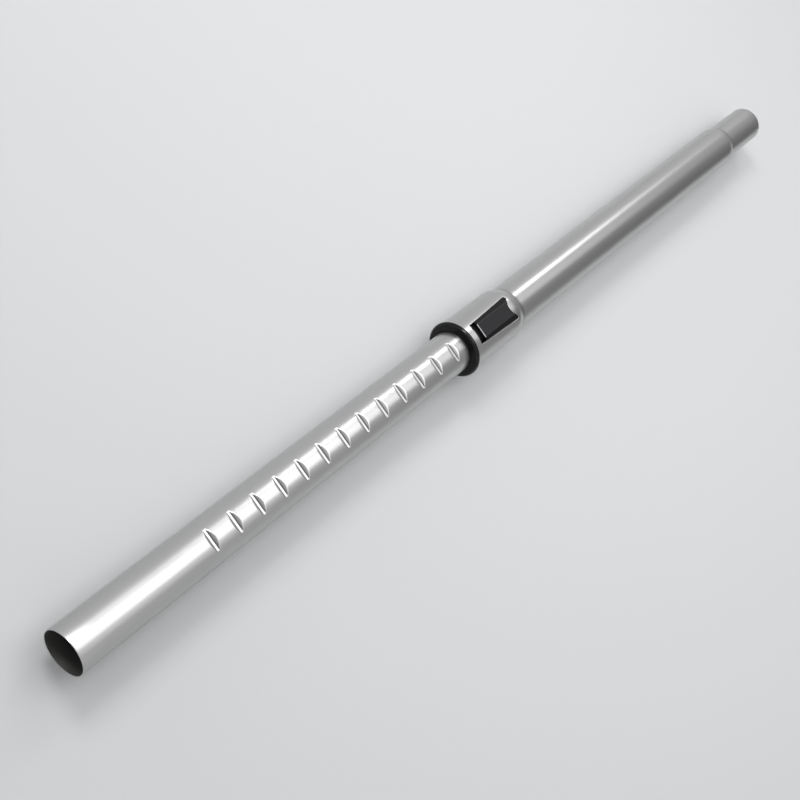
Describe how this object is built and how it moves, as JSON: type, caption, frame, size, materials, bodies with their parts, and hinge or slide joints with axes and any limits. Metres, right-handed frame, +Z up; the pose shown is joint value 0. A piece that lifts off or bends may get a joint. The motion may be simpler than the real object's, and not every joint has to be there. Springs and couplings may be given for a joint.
{
  "type": "telescopic vacuum wand",
  "caption": "Telescopic suction wand: a notched chromed inner tube slides in a flared outer tube and is locked by a black slide button behind a black collar.",
  "frame": {"origin": "under the middle of the wand's length, on the level of the collar's lowest point", "axes": "+X along the wand from the floor tool's end to the handle's end, +Z up through the notches and the button"},
  "size_m": [0.935, 0.0482, 0.0482],
  "materials": {
    "inner_chrome": "bright plated steel",
    "outer_chrome": "bright plated steel",
    "collar_black": "moulded, half gloss",
    "button_black": "moulded, fine texture",
    "sleeve_black": "moulded",
    "felt": "pressed felt",
    "roller_steel": "ground",
    "spring_steel": "drawn wire",
    "bush_white": "moulded",
    "seal_rubber": "moulded"
  },
  "bodies": {
    "base": {"outer_tube": "outer_chrome", "guide_sleeve": "sleeve_black", "collar_ring": "collar_black", "wiper_ring": "felt", "return_spring_left": "spring_steel", "return_spring_right": "spring_steel"},
    "inner": {"inner_tube": "inner_chrome", "tail_bush": "bush_white", "tail_ring": "seal_rubber"},
    "button": {"slide_button": "button_black"},
    "lock": {"lock_roller": "roller_steel"}
  },
  "joints": [
    {"name": "tube_slide", "type": "slide", "parent": "base", "child": "inner", "axis": [1, 0, 0], "range_m": [0, 0.2724]},
    {"name": "button_slide", "type": "slide", "parent": "base", "child": "button", "axis": [-1, 0, 0], "range_m": [0, 0.0055], "stiffness_N_per_m": 400, "springref_m": -0.004, "deforming": ["return_spring_left", "return_spring_right"]},
    {"name": "lock_lift", "type": "slide", "parent": "base", "child": "lock", "axis": [0, 0, 1], "range_m": [0, 0.0021]}
  ],
  "couplings": [
    {"joint": "lock_lift", "follows": "button_slide", "ratio": 0.3818}
  ]
}
